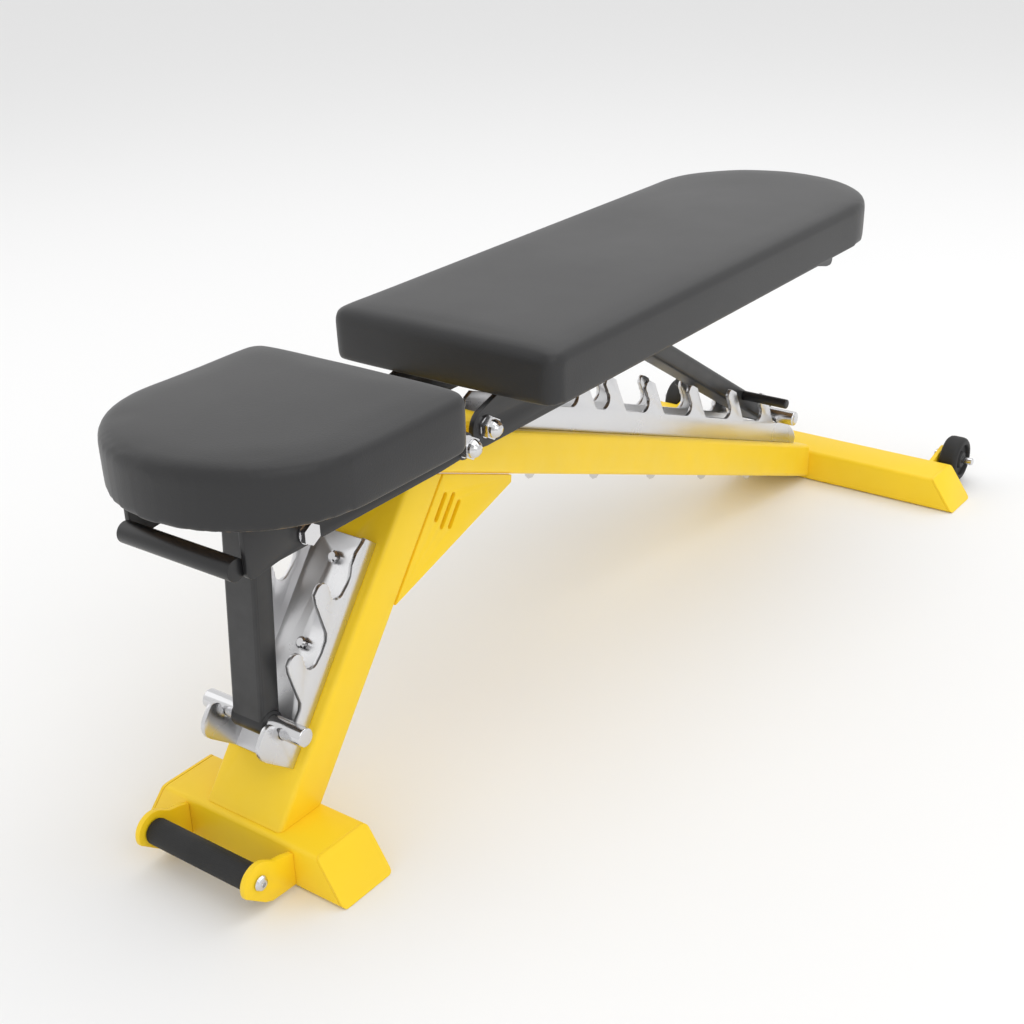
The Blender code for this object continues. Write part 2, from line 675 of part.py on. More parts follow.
def make_front_end():
    """Front foot, roller lugs, roller and its bolts."""
    make_foot(
        "front_foot",
        0.0,
        FRONT_FOOT_DEPTH,
        FRONT_FOOT_HEIGHT,
        FRONT_FOOT_HALF_FLOOR,
        FRONT_FOOT_HALF_TOP,
    )
    y, z = ROLLER_CENTRE
    points = [(-GAP, 40.0), (-12.0, 44.0), (-24.0, 46.0)]
    points += arc(ROLLER_CENTRE, LUG_NOSE, 62, 200, 12)
    points += [(y + 4.0, 10.0), (y + 13.0, 6.0), (-8.0, 5.0), (-GAP, 5.0)]
    empty = bpy.data.objects.new("roller_axis", None)
    PIECES.objects.link(empty)
    empty.location = to_world(ROLLER_CENTRE)
    for side, sign in (("left", -1.0), ("right", 1.0)):
        low, high = sorted((sign * LUG_INNER, sign * (LUG_INNER + LUG_THICK)))
        plate = add(
            f"roller_lug_{side}", prism(outline(points, ROLLER_CENTRE), low, high), "yellow", at=ROLLER_CENTRE
        )
        bore = turning(rod(-90.0, 90.0, ROLLER_BOLT_RADIUS + GAP))
        boolean(plate, f"cut_roller_lug_{side}", bore)
        head = LUG_INNER + LUG_THICK + GAP
        profile = [
            (head + 1.8, 0),
            (head + 1.8, 2.4),
            (head + 4.4, 2.6),
            (head + 4.4, 4.2),
            (head + 3.4, 6.2),
            (head + 1.2, 7.6),
            (head, 7.6),
            (head, ROLLER_BOLT_RADIUS),
            (LUG_INNER - 20.0, ROLLER_BOLT_RADIUS),
            (LUG_INNER - 20.0, 0),
        ]
        mesh = turning([(sign * x, r) for x, r in profile])
        add(f"roller_bolt_{side}", mesh, "steel", at=ROLLER_CENTRE, smooth=True)
    half = LUG_INNER - GAP
    bore = ROLLER_BOLT_RADIUS + GAP
    profile = [
        (-half, bore),
        (-half, ROLLER_CORE_RADIUS),
        (half, ROLLER_CORE_RADIUS),
        (half, bore),
        (half - 22.0, bore),
        (half - 22.0, 2.0),
        (22.0 - half, 2.0),
        (22.0 - half, bore),
    ]
    mesh = turning(profile, hollow=True, segments=RUNNING_ROUND)
    add("roller_core", mesh, "steel", at=ROLLER_CENTRE, smooth=True)
    grip = pipe(0.7 - half, half - 0.7, ROLLER_RADIUS, ROLLER_CORE_RADIUS + RUN, 1.5)
    mesh = turning(grip, hollow=True, segments=RUNNING_ROUND)
    add("roller_grip", mesh, "rubber", at=ROLLER_CENTRE, parent=empty, smooth=True)


def seat_loop(inset):
    """The seat's plan, as (x, y) points, brought in by inset."""
    half = SEAT_HALF_WIDTH - inset
    corner = max(PAD_CORNER - inset, 1.0)
    rear = SEAT_REAR - inset - corner
    reach = SEAT_ELLIPSE_LENGTH - inset
    points = [
        (x * half, SEAT_ELLIPSE_CENTRE + y * reach) for x, y in arc((0.0, 0.0), 1.0, 180, 360, 28)
    ]
    points += arc((half - corner, rear), corner, 0, 90, 5)
    points += arc((corner - half, rear), corner, 90, 180, 5)
    return points


def back_loop(inset):
    """The back's plan, as (x, y) points, brought in by inset."""
    half = BACK_HALF_WIDTH - inset
    corner = max(PAD_CORNER - inset, 1.0)
    front = BACK_FRONT + inset + corner
    reach = BACK_ELLIPSE_LENGTH - inset
    points = [
        (x * half, BACK_ELLIPSE_CENTRE + y * reach) for x, y in arc((0.0, 0.0), 1.0, 0, 180, 28)
    ]
    points += arc((corner - half, front), corner, 180, 270, 5)
    points += arc((half - corner, front), corner, 270, 360, 5)
    return points


def stack(loop, levels, origin):
    """A solid through the plan loop at each (inset, height)."""
    mesh = bmesh.new()
    rings = []
    for inset, height in levels:
        rings.append([mesh.verts.new((x, y - origin[0], height - origin[1])) for x, y in loop(inset)])
    for first, second in zip(rings, rings[1:]):
        ring_faces(mesh, first, second)
    mesh.faces.new(rings[0])
    mesh.faces.new(rings[-1])
    return close(mesh)


def make_pad(name, loop, bottom, origin, parent):
    """A cushion and the board in its underside."""
    roof = bottom + BOARD_THICK + GAP
    levels = [(BOARD_INSET - GAP, roof), (BOARD_INSET - GAP, bottom), (3.0, bottom), (0.0, bottom + 3.0)]
    levels += [
        (PAD_EDGE * (1 - math.cos(turn)), PAD_TOP - PAD_EDGE * (1 - math.sin(turn)))
        for turn in (math.radians(90 * i / 5) for i in range(6))
    ]
    mesh = stack(loop, levels, origin)
    add(f"{name}_cushion", mesh, "vinyl", at=origin, parent=parent, smooth=True)
    mesh = stack(loop, [(BOARD_INSET, bottom), (BOARD_INSET, bottom + BOARD_THICK)], origin)
    add(f"{name}_board", mesh, "plywood", at=origin, parent=parent)


def bolt_and_nut(name, hinge, outer, radius):
    """A pivot bolt with its head on the left and a domed nut on the right, each over a washer."""
    seat = outer + GAP
    wide = radius + 4.5
    across = 2 * radius + 7.0
    end = seat + 9.0
    profile = [(-seat - 1.6, 0), (-seat - 1.6, wide), (-seat, wide), (-seat, radius)]
    profile += [(end, radius), (end, 0)]
    mesh = turning(profile, segments=RUNNING_ROUND)
    bolt = add(f"{name}_bolt", mesh, "steel", at=hinge, smooth=True)
    boolean(bolt, f"join_{name}_bolt_head", hexagon(-seat - 9.0, -seat - 1.0, across), "UNION")
    bore = radius + GAP
    profile = [(seat, 0), (seat, wide), (seat + 1.6, wide), (seat + 1.6, radius + 2.6)]
    dome = radius + 2.8
    profile += [
        (seat + 9.0 + dome * math.sin(math.radians(a)), dome * math.cos(math.radians(a)))
        for a in (0, 20, 40, 60, 78)
    ]
    profile += [(seat + 9.0 + dome, 0)]
    nut = add(f"{name}_nut", turning(profile), "steel", at=hinge, smooth=True)
    ring = hexagon(seat + 1.0, seat + 9.5, across)
    boolean(nut, f"join_{name}_nut_hex", ring, "UNION")
    boolean(nut, f"cut_{name}_nut", turning(rod(seat - 2.0, end + 1.4, bore)))


def strut_bolt(name, pivot, outer, parent):
    """The bolt at a strut's upper end, through both side plates, with its nut."""
    seat = outer + GAP
    wide = STRUT_BOLT_RADIUS + 4.5
    across = 2 * STRUT_BOLT_RADIUS + 6.5
    profile = [(-seat - 1.6, 0), (-seat - 1.6, wide), (-seat, wide), (-seat, STRUT_BOLT_RADIUS)]
    profile += [(seat, STRUT_BOLT_RADIUS), (seat, wide), (seat + 1.6, wide), (seat + 1.6, 0)]
    mesh = turning(profile, segments=RUNNING_ROUND)
    bolt = add(f"{name}_strut_bolt", mesh, "steel", at=pivot, parent=parent, smooth=True)
    boolean(bolt, f"join_{name}_strut_head", hexagon(seat + 1.0, seat + 7.5, across), "UNION")
    boolean(bolt, f"join_{name}_strut_nut", hexagon(-seat - 8.5, -seat - 1.0, across), "UNION")


def side_plates(name, points, hinge, pivot, outer, parent):
    inner = outer - PLATE_THICK
    for side, sign in (("left", -1.0), ("right", 1.0)):
        low, high = sorted((sign * inner, sign * outer))
        mesh = prism(outline(points, hinge), low, high)
        plate = add(f"{name}_plate_{side}", mesh, "black", at=hinge, parent=parent)
        holes = turning(rod(-100.0, 100.0, PIVOT_RADIUS + RUN), segments=RUNNING_ROUND)
        turning(rod(-100.0, 100.0, STRUT_BOLT_RADIUS + GAP), centre=local(pivot, hinge), mesh=holes)
        boolean(plate, f"cut_{name}_plate_{side}", holes)


def make_strut(name, pivot, pin, outer, parent):
    """A strut from its pivot sleeve to the collar that carries its latch pin."""
    length = math.dist(pivot, pin)
    tilt = math.atan2(pin[0] - pivot[0], pivot[1] - pin[1])
    half = STRUT_DEPTH / 2
    section = rectangle(-STRUT_HALF_WIDTH, STRUT_HALF_WIDTH, -half, half, 4.0)
    wall = STRUT_WALL
    room = rectangle(wall - STRUT_HALF_WIDTH, STRUT_HALF_WIDTH - wall, wall - half, half - wall, 1.5)
    mesh = tube(section, room, lambda x, y: -length, lambda x, y: STRUT_HEAD, lambda x, y, z: (x, y, z))
    strut = add(f"{name}_strut", mesh, "black", at=pivot, tilt=tilt, parent=parent, smooth=True)
    sleeve_radius = STRUT_BOLT_RADIUS + STRUT_SLEEVE_WALL
    boolean(strut, f"cut_{name}_strut_sleeve", turning(rod(-60.0, 60.0, sleeve_radius + GAP)))
    collar = turning(rod(-60.0, 60.0, COLLAR_RADIUS + GAP), centre=(0.0, -length))
    boolean(strut, f"cut_{name}_strut_collar", collar)
    reach = outer - PLATE_THICK - GAP
    sleeve = pipe(-reach, reach, sleeve_radius, STRUT_BOLT_RADIUS + RUN, 0.8)
    mesh = turning(sleeve, hollow=True, segments=RUNNING_ROUND)
    add(f"{name}_strut_sleeve", mesh, "black", at=pivot, tilt=tilt, parent=parent, smooth=True)
    centre = (0.0, -length)
    reach = STRUT_HALF_WIDTH + COLLAR_PROUD
    collar = pipe(-reach, reach, COLLAR_RADIUS, PIN_RADIUS + GAP, 1.5)
    mesh = turning(collar, hollow=True, centre=centre)
    add(f"{name}_strut_collar", mesh, "black", at=pivot, tilt=tilt, parent=parent, smooth=True)
    mesh = turning(rod(-PIN_HALF, PIN_HALF, PIN_RADIUS, 2.0), centre=centre)
    add(f"{name}_latch_pin", mesh, "steel", at=pivot, tilt=tilt, parent=parent, smooth=True)
    return strut, tilt, length


def joint_empty(name, at):
    empty = bpy.data.objects.new(name, None)
    PIECES.objects.link(empty)
    empty.location = to_world(at)
    return empty


def make_seat():
    hinge, pivot = SEAT_HINGE, SEAT_STRUT_PIVOT
    axis = joint_empty("seat_axis", hinge)
    make_pad("seat", seat_loop, SEAT_BOTTOM, hinge, axis)
    top = SEAT_BOTTOM - GAP
    points = [(-18.0, top)] + arc((-11.0, 339.0), 7.0, 180, 270, 4)
    points += [(20.0, 336.0), (240.0, 337.0)]
    points += arc(hinge, SEAT_TONGUE, 235, 495, 16)
    points += [(246.0, 356.5), (238.0, 358.5), (222.0, 372.0), (214.0, top)]
    side_plates("seat", points, hinge, pivot, SEAT_PLATE_OUTER, axis)
    half = SEAT_PLATE_OUTER - PLATE_THICK - GAP
    bar = turning(rod(-half, half, GRAB_BAR_RADIUS))
    add("seat_grab_bar", bar, "black", at=GRAB_BAR_CENTRE, parent=axis, smooth=True)
    strut_bolt("seat", pivot, SEAT_PLATE_OUTER, axis)
    bolt_and_nut("seat_pivot", hinge, SEAT_PLATE_OUTER, PIVOT_RADIUS)
    swing = joint_empty("seat_strut_axis", pivot)
    pin = on_post(FRONT_POCKETS[0], FRONT_PIN_HEIGHT)
    make_strut("seat", pivot, pin, SEAT_PLATE_OUTER, swing)


def make_back():
    hinge, pivot = BACK_HINGE, BACK_STRUT_PIVOT
    axis = joint_empty("back_axis", hinge)
    make_pad("back", back_loop, BACK_BOTTOM, hinge, axis)
    top = BACK_BOTTOM - GAP
    low = hinge[1] - BACK_TONGUE
    points = [(346.0, top)] + arc(hinge, BACK_TONGUE, 120, 270, 10)
    points += [(1042.0, low), (1058.0, low), (1086.0, 326.0)]
    points += arc((1094.0, 333.0), 7.5, 250, 360, 4) + [(1104.0, 345.0), (1104.0, top)]
    side_plates("back", points, hinge, pivot, BACK_PLATE_OUTER, axis)
    half = BACK_PLATE_OUTER - PLATE_THICK - GAP
    cross = rectangle(1070.0, 1098.0, 343.0, 371.0, 3.0)
    mesh = prism(outline(cross, hinge), -half, half)
    add("back_cross_bar", mesh, "black", at=hinge, parent=axis)
    strut_bolt("back", pivot, BACK_PLATE_OUTER, axis)
    bolt_and_nut("back_pivot", hinge, BACK_PLATE_OUTER, PIVOT_RADIUS)
    swing = joint_empty("back_strut_axis", pivot)
    pin = along(SPINE_START, SPINE_SLOPE, rear_pocket(0.0), REAR_PIN_HEIGHT)
    strut, tilt, length = make_strut("back", pivot, pin, BACK_PLATE_OUTER, swing)
    centre = (HANDLE_OFFSET, HANDLE_FROM_PIN - length)
    boolean(strut, "cut_back_strut_handle", turning(rod(-60.0, 60.0, HANDLE_RADIUS + GAP), centre=centre))
    bar = turning(rod(-HANDLE_HALF, HANDLE_HALF, HANDLE_RADIUS, 1.5), centre=centre)
    add("back_strut_handle", bar, "black", at=pivot, tilt=tilt, parent=swing, smooth=True)


for old in list(bpy.data.objects):
    bpy.data.objects.remove(old)
PIECES = bpy.data.collections.new("adjustable_weight_bench")
bpy.context.scene.collection.children.link(PIECES)
CUTTERS = bpy.data.collections.new("cutters")
bpy.context.scene.collection.children.link(CUTTERS)
CUTTERS.hide_render = True

make_front_end()
make_frame()
make_ladders()
make_rear_end()
make_seat()
make_back()
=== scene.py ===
"""Finishes the adjustable weight bench: cushions, turned parts, softened steel work, materials and stage."""

import json
import math

import bmesh
import bpy
from bpy.props import (
    FloatProperty,
    FloatVectorProperty,
    IntProperty,
    PointerProperty,
)
from mathutils import Matrix, Vector

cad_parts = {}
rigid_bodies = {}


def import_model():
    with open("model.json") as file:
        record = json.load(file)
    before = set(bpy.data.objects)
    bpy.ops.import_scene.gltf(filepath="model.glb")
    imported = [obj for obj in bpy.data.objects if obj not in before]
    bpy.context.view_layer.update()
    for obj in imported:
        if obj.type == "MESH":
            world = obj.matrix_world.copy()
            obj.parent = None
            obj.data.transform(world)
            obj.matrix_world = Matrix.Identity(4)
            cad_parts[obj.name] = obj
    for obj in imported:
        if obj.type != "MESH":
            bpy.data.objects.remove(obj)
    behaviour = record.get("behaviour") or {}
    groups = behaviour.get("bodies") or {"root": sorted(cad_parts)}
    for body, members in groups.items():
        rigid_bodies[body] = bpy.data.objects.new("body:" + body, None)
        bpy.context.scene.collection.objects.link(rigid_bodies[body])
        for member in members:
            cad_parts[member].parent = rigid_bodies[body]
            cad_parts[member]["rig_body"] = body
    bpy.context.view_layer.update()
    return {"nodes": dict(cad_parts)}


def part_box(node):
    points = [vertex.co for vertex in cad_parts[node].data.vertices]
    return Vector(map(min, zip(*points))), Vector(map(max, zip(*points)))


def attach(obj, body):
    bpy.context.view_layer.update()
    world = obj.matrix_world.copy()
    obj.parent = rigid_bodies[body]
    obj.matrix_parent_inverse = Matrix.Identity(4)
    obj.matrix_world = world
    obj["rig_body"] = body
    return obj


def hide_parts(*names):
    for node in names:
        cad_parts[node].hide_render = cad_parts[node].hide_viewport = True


bl_info = {
    "name": "Adjustable weight bench",
    "version": (1, 0, 0),
    "blender": (4, 5, 0),
    "location": "3D Viewport > Sidebar > Weight Bench",
    "description": "Builds the finished look of an adjustable weight bench on its frame",
    "category": "Object",
}

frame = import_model()
NODES = frame["nodes"]
BODY_OF = {node: obj["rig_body"] for node, obj in NODES.items()}

# Edges sharper than this stay crisp, on turned and cut steel and on the cushions' undersides.
SHARP = math.radians(32)
PAD_SHARP = math.radians(50)
BEVELLED = math.radians(40)

# Cushions: the reach of each round end, how the cover is held and pushed out, and the board's room.
SEAT_NOSE = 0.126
BACK_NOSE = 0.125
HELD_HEIGHT = 0.006
CLOTH_STEPS = 20
EVENING = 12
CROWN_RISE = 0.0022
SIDE_PULL = 0.0012
UNDERSIDE_GAP = 0.0006
BOARD_INSET = 0.010
BOARD_ROOM = 0.0004
BELOW_PAD = 0.01


YELLOW_NODES = [
    "front_foot",
    "front_foot_end_left",
    "front_foot_end_right",
    "rear_foot",
    "rear_foot_end_left",
    "rear_foot_end_right",
    "front_post",
    "spine_front_plate",
    "gusset_left",
    "gusset_right",
    "wheel_bracket_left",
    "wheel_bracket_right",
    "roller_lug_left",
    "roller_lug_right",
]
BLACK_NODES = [
    "seat_plate_left",
    "seat_plate_right",
    "back_plate_left",
    "back_plate_right",
    "back_cross_bar",
]
LADDERS = ["front_ladder", "rear_ladder"]
KEPT_STEEL = [name for name in NODES if "bolt" in name or "nut" in name or "screw" in name]
KEPT_BLACK = ["seat_strut", "back_strut"]


class BenchFinishSettings(bpy.types.PropertyGroup):
    """Colours of the bench's finishes"""

    yellow: FloatVectorProperty(
        name="Powder coat",
        description="Colour of the welded frame",
        subtype="COLOR",
        size=3,
        min=0.0,
        max=1.0,
        default=(0.98, 0.66, 0.012),
    )
    black: FloatVectorProperty(
        name="Black coat",
        description="Colour of the seat and back steel work",
        subtype="COLOR",
        size=3,
        min=0.0,
        max=1.0,
        default=(0.012, 0.012, 0.013),
    )
    steel: FloatVectorProperty(
        name="Stainless steel",
        description="Colour of the ladders, pins and fixings",
        subtype="COLOR",
        size=3,
        min=0.0,
        max=1.0,
        default=(0.72, 0.72, 0.73),
    )
    vinyl: FloatVectorProperty(
        name="Vinyl",
        description="Colour of the cushion covers",
        subtype="COLOR",
        size=3,
        min=0.0,
        max=1.0,
        default=(0.021, 0.021, 0.022),
    )
    rubber: FloatVectorProperty(
        name="Rubber",
        description="Colour of the wheels and the roller grip",
        subtype="COLOR",
        size=3,
        min=0.0,
        max=1.0,
        default=(0.012, 0.012, 0.012),
    )
    plywood: FloatVectorProperty(
        name="Plywood",
        description="Colour of the boards under the cushions",
        subtype="COLOR",
        size=3,
        min=0.0,
        max=1.0,
        default=(0.42, 0.27, 0.14),
    )


class BenchCushionSettings(bpy.types.PropertyGroup):
    """Sizes of the cushions"""

    inset: FloatProperty(
        name="Cut smaller",
        description="How much smaller the cushion is cut than the room it fills",
        subtype="DISTANCE",
        unit="LENGTH",
        default=0.0018,
    )
    edge: FloatProperty(
        name="Edge rounding",
        description="Radius of the rounding along the top edge",
        subtype="DISTANCE",
        unit="LENGTH",
        default=0.011,
    )
    corner: FloatProperty(
        name="Corner radius",
        description="Radius of the square corners seen from above",
        subtype="DISTANCE",
        unit="LENGTH",
        default=0.020,
    )
    voxel: FloatProperty(
        name="Mesh size",
        description="Size of the mesh that the pressure acts on",
        subtype="DISTANCE",
        unit="LENGTH",
        default=0.005,
    )
    pressure: FloatProperty(
        name="Foam pressure",
        description="How hard the foam pushes the cover out",
        default=4.0,
        min=0.0,
    )
    swell: FloatProperty(
        name="Most swelling",
        description="How far the foam may push the cover out",
        subtype="DISTANCE",
        unit="LENGTH",
        default=0.0028,
    )


class BenchPartSettings(bpy.types.PropertyGroup):
    """Sizes of the turned and pressed parts' details"""

    plate_edge: FloatProperty(
        name="Plate edge",
        description="Rounding of the cut plates' edges",
        subtype="DISTANCE",
        unit="LENGTH",
        default=0.0006,
    )
    knurl_depth: FloatProperty(
        name="Knurl depth",
        description="Depth of the roller grip's diamond pattern",
        subtype="DISTANCE",
        unit="LENGTH",
        default=0.0005,
    )
    knurl_rows: IntProperty(
        name="Knurl rows",
        description="Diamonds round the roller grip",
        default=22,
        min=4,
    )


class BenchStageSettings(bpy.types.PropertyGroup):
    """Floor, light and camera"""

    floor: FloatVectorProperty(
        name="Floor",
        description="Colour of the floor",
        subtype="COLOR",
        size=3,
        min=0.0,
        max=1.0,
        default=(0.86, 0.86, 0.86),
    )
    lens: FloatProperty(
        name="Focal length",
        description="Focal length of the camera on a 36 mm sensor, in millimetres",
        default=54.17,
        min=10.0,
    )
    turn: FloatProperty(
        name="Camera turn",
        description="Angle of the camera round the bench",
        subtype="ANGLE",
        unit="ROTATION",
        default=math.radians(37.2),
    )
    height_angle: FloatProperty(
        name="Camera height angle",
        description="Angle of the camera above the floor",
        subtype="ANGLE",
        unit="ROTATION",
        default=math.radians(25.1),
    )
    roll: FloatProperty(
        name="Camera roll",
        description="Roll of the camera about its own axis",
        subtype="ANGLE",
        unit="ROTATION",
        default=math.radians(-2.0),
    )
    position: FloatVectorProperty(
        name="Camera position",
        description="Where the camera stands",
        subtype="XYZ",
        unit="LENGTH",
        size=3,
        default=(0.945, -1.3825, 0.925),
    )


# Shader groups


def new_group(name, inputs, outputs):
    """An empty shader group with the named sockets."""
    group = bpy.data.node_groups.new(name, "ShaderNodeTree")
    for label, kind, value in inputs:
        socket = group.interface.new_socket(name=label, in_out="INPUT", socket_type=kind)
        socket.default_value = value
    for label, kind in outputs:
        group.interface.new_socket(name=label, in_out="OUTPUT", socket_type=kind)
    start = group.nodes.new("NodeGroupInput")
    end = group.nodes.new("NodeGroupOutput")
    return group, start, end


def grain_group():
    """Fine bumps over a surface: a normal and the mask it comes from."""
    found = bpy.data.node_groups.get("surface_grain")
    if found:
        return found
    group, start, end = new_group(
        "surface_grain",
        (
            ("Scale", "NodeSocketFloat", 600.0),
            ("Depth", "NodeSocketFloat", 0.0001),
            ("Strength", "NodeSocketFloat", 0.5),
        ),
        (("Normal", "NodeSocketVector"), ("Mask", "NodeSocketFloat")),
    )
    nodes, links = group.nodes, group.links
    place = nodes.new("ShaderNodeTexCoord")
    noise = nodes.new("ShaderNodeTexNoise")
    noise.inputs["Detail"].default_value = 3.0
    noise.inputs["Roughness"].default_value = 0.55
    bump = nodes.new("ShaderNodeBump")
    links.new(place.outputs["Object"], noise.inputs["Vector"])
    links.new(start.outputs["Scale"], noise.inputs["Scale"])
    links.new(noise.outputs["Fac"], bump.inputs["Height"])
    links.new(start.outputs["Depth"], bump.inputs["Distance"])
    links.new(start.outputs["Strength"], bump.inputs["Strength"])
    links.new(bump.outputs["Normal"], end.inputs["Normal"])
    links.new(noise.outputs["Fac"], end.inputs["Mask"])
    return group


def drift_group():
    """Slow changes of colour and roughness over a surface."""
    found = bpy.data.node_groups.get("finish_drift")
    if found:
        return found
    group, start, end = new_group(
        "finish_drift",
        (
            ("Colour", "NodeSocketColor", (0.5, 0.5, 0.5, 1.0)),
            ("Darkest", "NodeSocketFloat", 0.85),
            ("Scale", "NodeSocketFloat", 6.0),
            ("Low Roughness", "NodeSocketFloat", 0.3),
            ("High Roughness", "NodeSocketFloat", 0.45),
        ),
        (("Colour", "NodeSocketColor"), ("Roughness", "NodeSocketFloat")),
    )
    nodes, links = group.nodes, group.links
    place = nodes.new("ShaderNodeTexCoord")
    noise = nodes.new("ShaderNodeTexNoise")
    noise.inputs["Detail"].default_value = 5.0
    links.new(place.outputs["Object"], noise.inputs["Vector"])
    links.new(start.outputs["Scale"], noise.inputs["Scale"])
    shade = nodes.new("ShaderNodeMapRange")
    shade.inputs["From Min"].default_value = 0.3
    shade.inputs["From Max"].default_value = 0.7
    shade.inputs["To Max"].default_value = 1.0
    links.new(noise.outputs["Fac"], shade.inputs["Value"])
    links.new(start.outputs["Darkest"], shade.inputs["To Min"])
    tint = nodes.new("ShaderNodeVectorMath")
    tint.operation = "SCALE"
    links.new(start.outputs["Colour"], tint.inputs[0])
    links.new(shade.outputs["Result"], tint.inputs["Scale"])
    links.new(tint.outputs["Vector"], end.inputs["Colour"])
    rough = nodes.new("ShaderNodeMapRange")
    rough.inputs["From Min"].default_value = 0.3
    rough.inputs["From Max"].default_value = 0.7
    links.new(noise.outputs["Fac"], rough.inputs["Value"])
    links.new(start.outputs["Low Roughness"], rough.inputs["To Min"])
    links.new(start.outputs["High Roughness"], rough.inputs["To Max"])
    links.new(rough.outputs["Result"], end.inputs["Roughness"])
    return group


def edge_highlight_group():
    """A mask of the convex edges, broken up by noise, where a lighter colour is painted on as a highlight."""
    found = bpy.data.node_groups.get("painted_edge_highlight")
    if found:
        return found
    group, start, end = new_group(
        "painted_edge_highlight",
        (
            ("Colour", "NodeSocketColor", (0.5, 0.5, 0.5, 1.0)),
            ("Worn Colour", "NodeSocketColor", (0.8, 0.8, 0.8, 1.0)),
            ("Amount", "NodeSocketFloat", 0.3),
        ),
        (("Colour", "NodeSocketColor"), ("Mask", "NodeSocketFloat")),
    )
    nodes, links = group.nodes, group.links
    shape = nodes.new("ShaderNodeNewGeometry")
    place = nodes.new("ShaderNodeTexCoord")
    noise = nodes.new("ShaderNodeTexNoise")
    noise.inputs["Scale"].default_value = 45.0
    noise.inputs["Detail"].default_value = 6.0
    links.new(place.outputs["Object"], noise.inputs["Vector"])
    # Convex edges, found from pointiness, get the lighter colour: a painted edge highlight.
    edge = nodes.new("ShaderNodeMapRange")
    edge.inputs["From Min"].default_value = 0.53
    edge.inputs["From Max"].default_value = 0.62
    links.new(shape.outputs["Pointiness"], edge.inputs["Value"])
    broken = nodes.new("ShaderNodeMath")
    broken.operation = "MULTIPLY"
    links.new(edge.outputs["Result"], broken.inputs[0])
    links.new(noise.outputs["Fac"], broken.inputs[1])
    amount = nodes.new("ShaderNodeMath")
    amount.operation = "MULTIPLY"
    links.new(broken.outputs["Value"], amount.inputs[0])
    links.new(start.outputs["Amount"], amount.inputs[1])
    mix = nodes.new("ShaderNodeMix")
    mix.data_type = "RGBA"
    links.new(amount.outputs["Value"], mix.inputs["Factor"])
    links.new(start.outputs["Colour"], mix.inputs["A"])
    links.new(start.outputs["Worn Colour"], mix.inputs["B"])
    links.new(mix.outputs["Result"], end.inputs["Colour"])
    links.new(amount.outputs["Value"], end.inputs["Mask"])
    return group


def place_group(tree, group, **values):
    node = tree.nodes.new("ShaderNodeGroup")
    node.node_tree = group
    for label, value in values.items():
        node.inputs[label.replace("_", " ")].default_value = value
    return node


def new_material(name):
    made = bpy.data.materials.new(name)
    made.use_nodes = True
    return made, made.node_tree, made.node_tree.nodes["Principled BSDF"]


def coated(name, colour, highlight_colour, low, high, grain, depth):
    """A powder-coated steel finish with fine bumps and a painted highlight along its edges."""
    found = bpy.data.materials.get(name)
    if found:
        return found
    made, tree, shader = new_material(name)
    drift = place_group(
        tree,
        drift_group(),
        Colour=(*colour, 1.0),
        Darkest=0.93,
        Scale=7.0,
        Low_Roughness=low,
        High_Roughness=high,
    )
    # Lighter colour along the convex edges: a painted highlight.
    edge_highlight = place_group(tree, edge_highlight_group(), Worn_Colour=(*highlight_colour, 1.0), Amount=0.35)
    bumps = place_group(tree, grain_group(), Scale=grain, Depth=depth, Strength=0.6)
    tree.links.new(drift.outputs["Colour"], edge_highlight.inputs["Colour"])
    tree.links.new(edge_highlight.outputs["Colour"], shader.inputs["Base Color"])
    tree.links.new(drift.outputs["Roughness"], shader.inputs["Roughness"])
    tree.links.new(bumps.outputs["Normal"], shader.inputs["Normal"])
    return made


def yellow_coat():
    colour = bpy.context.scene.bench_finish.yellow
    # The pale yellow is the colour of the painted edge highlight.
    made = coated("yellow_powder_coat", colour, (1.0, 0.78, 0.2), 0.36, 0.48, 520.0, 0.00012)
    made.node_tree.nodes["Principled BSDF"].inputs["Specular IOR Level"].default_value = 0.35
    return made


def black_coat():
    colour = bpy.context.scene.bench_finish.black
    # The grey is the colour of the painted edge highlight.
    return coated("black_satin_coat", colour, (0.12, 0.12, 0.12), 0.3, 0.42, 700.0, 0.00008)


def stainless(name, low, high, streak):
    """Polished steel with faint grinding lines."""
    found = bpy.data.materials.get(name)
    if found:
        return found
    colour = bpy.context.scene.bench_finish.steel
    made, tree, shader = new_material(name)
    shader.inputs["Metallic"].default_value = 1.0
    drift = place_group(
        tree,
        drift_group(),
        Colour=(*colour, 1.0),
        Darkest=0.92,
        Scale=9.0,
        Low_Roughness=low,
        High_Roughness=high,
    )
    place = tree.nodes.new("ShaderNodeTexCoord")
    stretch = tree.nodes.new("ShaderNodeMapping")
    stretch.inputs["Scale"].default_value = (40.0, 6.0, 900.0)
    lines = tree.nodes.new("ShaderNodeTexNoise")
    lines.inputs["Scale"].default_value = 1.0
    lines.inputs["Detail"].default_value = 2.0
    bump = tree.nodes.new("ShaderNodeBump")
    bump.inputs["Strength"].default_value = 0.05 * streak
    bump.inputs["Distance"].default_value = 0.0001
    tree.links.new(place.outputs["Object"], stretch.inputs["Vector"])
    tree.links.new(stretch.outputs["Vector"], lines.inputs["Vector"])
    tree.links.new(lines.outputs["Fac"], bump.inputs["Height"])
    tree.links.new(drift.outputs["Colour"], shader.inputs["Base Color"])
    tree.links.new(drift.outputs["Roughness"], shader.inputs["Roughness"])
    tree.links.new(bump.outputs["Normal"], shader.inputs["Normal"])
    return made


